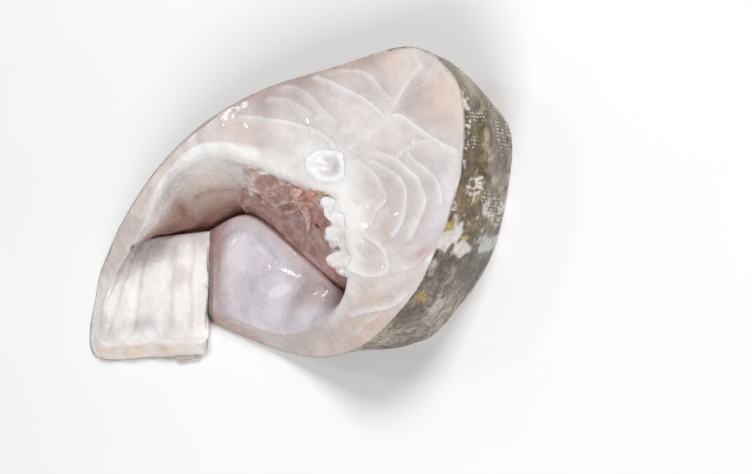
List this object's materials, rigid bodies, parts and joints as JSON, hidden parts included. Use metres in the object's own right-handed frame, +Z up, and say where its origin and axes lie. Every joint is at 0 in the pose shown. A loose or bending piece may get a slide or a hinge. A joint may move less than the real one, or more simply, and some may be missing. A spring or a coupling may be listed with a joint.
{
  "type": "cod steak",
  "caption": "Raw cod steak cut across the belly cavity, horseshoe-shaped, with mottled skin, a ring of backbone and both belly flaps folded flat.",
  "frame": {"origin": "middle of the footprint, on the surface that the steak lies on", "axes": "+Y towards the fish's back fin, +X towards the flank whose skin shows, +Z up out of the shown cut face"},
  "size_m": [0.1322, 0.2019, 0.0455],
  "materials": {
    "flesh": "moist raw white fish",
    "skin": "wet mottled olive-brown fish skin",
    "backbone": "moist bone and gristle"
  },
  "bodies": {
    "root": {"flesh": "flesh", "backbone": "backbone"}
  },
  "joints": []
}
